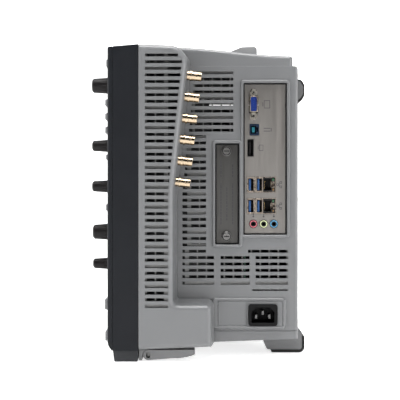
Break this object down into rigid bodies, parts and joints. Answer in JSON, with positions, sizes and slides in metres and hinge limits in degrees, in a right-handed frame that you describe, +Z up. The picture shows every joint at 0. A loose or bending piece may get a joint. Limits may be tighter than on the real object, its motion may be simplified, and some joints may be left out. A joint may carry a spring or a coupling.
{
  "type": "logic analyzer",
  "caption": "Portable bench logic analyzer with a built-in display, control knobs and keys, vented cabinet, side connector panel, removable drive tray, folding handle and tilt legs.",
  "frame": {"origin": "middle of the bounding box, on the surface that the feet stand on", "axes": "+X to the operator's right, +Y from the front panel to the rear, +Z up"},
  "size_m": [0.4432, 0.2258, 0.3295],
  "materials": {
    "cabinet_plastic": "fine moulded texture, light warm-neutral grey",
    "bezel_plastic": "charcoal, fine texture",
    "knob_plastic": "near black, slight sheen on the flutes",
    "key_plastic": "pale grey moulded key",
    "power_key_plastic": "pale grey moulded key",
    "sheet_steel": "zinc-plated sheet",
    "black_steel": "black powder coat",
    "shield_steel": "stamped stainless sheet, dull",
    "connector_metal": "nickel-plated shells",
    "bnc_gold": "gold-flashed brass",
    "jack_plastic": "black block with coloured rims",
    "inlet_plastic": "black thermoset",
    "pin_steel": "turned steel",
    "screw_steel": "nickel-plated",
    "rubber_black": "soft black rubber",
    "foot_plastic": "moulded grey",
    "handle_plastic": "moulded light grey",
    "dark_plastic": "charcoal moulded",
    "board_green": "green circuit board with solder mask",
    "display_glass": "touch glass over the display",
    "display_body": "display module",
    "drive_metal": "cast aluminium",
    "fan_plastic": "black fan plastic"
  },
  "bodies": {
    "cabinet": {"front_side_cover_right": "cabinet_plastic", "front_side_cover_left": "cabinet_plastic", "rear_side_cover_right": "cabinet_plastic", "rear_side_cover_left": "cabinet_plastic", "top_cover": "cabinet_plastic", "bottom_cover": "cabinet_plastic", "rear_panel": "sheet_steel", "front_bezel": "bezel_plastic", "rotary_encoders": "connector_metal", "keypad_board": "board_green", "front_usb_ports": "connector_metal", "touch_glass": "display_glass", "lcd_panel": "display_body", "emi_screens": "sheet_steel", "io_shield": "shield_steel", "vga_connector": "connector_metal", "usb_b_and_display_ports": "connector_metal", "lan_usb_stacks": "connector_metal", "audio_jack_block": "jack_plastic", "bnc_connectors": "bnc_gold", "bay_frame": "sheet_steel", "inlet_panel": "cabinet_plastic", "ac_inlet": "inlet_plastic", "handle_brackets": "handle_plastic", "hinge_pins": "pin_steel", "leg_brackets": "foot_plastic", "front_feet": "dark_plastic", "rear_feet": "foot_plastic", "rear_rubber_pads": "rubber_black", "chassis": "black_steel", "motherboard": "board_green", "power_supply": "sheet_steel", "acquisition_board": "board_green", "pod_connectors": "dark_plastic", "fan_frames": "fan_plastic", "fan_guards": "pin_steel", "case_screws": "screw_steel"},
    "handle": {"carry_handle": "handle_plastic", "handle_grip": "rubber_black"},
    "drive_module": {"drive_tray": "shield_steel", "hard_drive": "drive_metal"},
    "thumbscrew_lower": {"thumbscrew_lower": "screw_steel"},
    "thumbscrew_upper": {"thumbscrew_upper": "screw_steel"},
    "tilt_leg_right": {"tilt_leg_right": "foot_plastic"},
    "tilt_leg_left": {"tilt_leg_left": "foot_plastic"},
    "fan_rotor_left": {"fan_rotor_left": "fan_plastic"},
    "fan_rotor_right": {"fan_rotor_right": "fan_plastic"},
    "touch_lock_key": {"touch_lock_key": "key_plastic"},
    "run_single_key": {"run_single_key": "key_plastic"},
    "run_repeat_key": {"run_repeat_key": "key_plastic"},
    "stop_key": {"stop_key": "key_plastic"},
    "marker_select_key": {"marker_select_key": "key_plastic"},
    "zoom_key": {"zoom_key": "key_plastic"},
    "print_key": {"print_key": "key_plastic"},
    "power_button": {"power_button": "power_key_plastic"},
    "entry_knob": {"entry_knob": "knob_plastic"},
    "marker_knob_upper": {"marker_knob_upper": "knob_plastic"},
    "marker_knob_lower": {"marker_knob_lower": "knob_plastic"},
    "scale_knob": {"scale_knob": "knob_plastic"},
    "delay_knob": {"delay_knob": "knob_plastic"}
  },
  "joints": [
    {"name": "handle_fold", "type": "hinge", "parent": "cabinet", "child": "handle", "pos_m": [0, 0.0535, 0.322], "axis": [-1, 0, 0], "range_deg": [0, 95]},
    {"name": "drive_module_slide", "type": "slide", "parent": "cabinet", "child": "drive_module", "axis": [1, 0, 0], "range_m": [0, 0.16]},
    {"name": "thumbscrew_lower_turn", "type": "hinge", "parent": "drive_module", "child": "thumbscrew_lower", "pos_m": [0.1786, 0.028, 0.1261], "axis": [1, 0, 0], "continuous": true},
    {"name": "thumbscrew_upper_turn", "type": "hinge", "parent": "drive_module", "child": "thumbscrew_upper", "pos_m": [0.1786, 0.028, 0.2162], "axis": [1, 0, 0], "continuous": true},
    {"name": "tilt_leg_right_fold", "type": "hinge", "parent": "cabinet", "child": "tilt_leg_right", "pos_m": [0.207, -0.053, 0.0062], "axis": [-1, 0, 0], "range_deg": [0, 90]},
    {"name": "tilt_leg_left_fold", "type": "hinge", "parent": "cabinet", "child": "tilt_leg_left", "pos_m": [-0.207, -0.053, 0.0062], "axis": [-1, 0, 0], "range_deg": [0, 90]},
    {"name": "fan_left_spin", "type": "hinge", "parent": "cabinet", "child": "fan_rotor_left", "pos_m": [-0.11, 0.086, 0.196], "axis": [0, 1, 0], "continuous": true},
    {"name": "fan_right_spin", "type": "hinge", "parent": "cabinet", "child": "fan_rotor_right", "pos_m": [-0.018, 0.086, 0.196], "axis": [0, 1, 0], "continuous": true},
    {"name": "touch_lock_key_press", "type": "slide", "parent": "cabinet", "child": "touch_lock_key", "axis": [0, 1, 0], "range_m": [0, 0.0012], "stiffness_N_per_m": 400},
    {"name": "run_single_key_press", "type": "slide", "parent": "cabinet", "child": "run_single_key", "axis": [0, 1, 0], "range_m": [0, 0.0012], "stiffness_N_per_m": 400},
    {"name": "run_repeat_key_press", "type": "slide", "parent": "cabinet", "child": "run_repeat_key", "axis": [0, 1, 0], "range_m": [0, 0.0012], "stiffness_N_per_m": 400},
    {"name": "stop_key_press", "type": "slide", "parent": "cabinet", "child": "stop_key", "axis": [0, 1, 0], "range_m": [0, 0.0012], "stiffness_N_per_m": 400},
    {"name": "marker_select_key_press", "type": "slide", "parent": "cabinet", "child": "marker_select_key", "axis": [0, 1, 0], "range_m": [0, 0.0012], "stiffness_N_per_m": 400},
    {"name": "zoom_key_press", "type": "slide", "parent": "cabinet", "child": "zoom_key", "axis": [0, 1, 0], "range_m": [0, 0.0012], "stiffness_N_per_m": 400},
    {"name": "print_key_press", "type": "slide", "parent": "cabinet", "child": "print_key", "axis": [0, 1, 0], "range_m": [0, 0.0012], "stiffness_N_per_m": 400},
    {"name": "power_button_press", "type": "slide", "parent": "cabinet", "child": "power_button", "axis": [0, 1, 0], "range_m": [0, 0.0012], "stiffness_N_per_m": 600},
    {"name": "entry_knob_turn", "type": "hinge", "parent": "cabinet", "child": "entry_knob", "pos_m": [0.1856, -0.103, 0.2848], "axis": [0, -1, 0], "continuous": true},
    {"name": "marker_knob_upper_turn", "type": "hinge", "parent": "cabinet", "child": "marker_knob_upper", "pos_m": [0.1856, -0.103, 0.2215], "axis": [0, -1, 0], "continuous": true},
    {"name": "marker_knob_lower_turn", "type": "hinge", "parent": "cabinet", "child": "marker_knob_lower", "pos_m": [0.1856, -0.103, 0.179], "axis": [0, -1, 0], "continuous": true},
    {"name": "scale_knob_turn", "type": "hinge", "parent": "cabinet", "child": "scale_knob", "pos_m": [0.1856, -0.103, 0.1313], "axis": [0, -1, 0], "continuous": true},
    {"name": "delay_knob_turn", "type": "hinge", "parent": "cabinet", "child": "delay_knob", "pos_m": [0.1856, -0.103, 0.098], "axis": [0, -1, 0], "continuous": true}
  ]
}
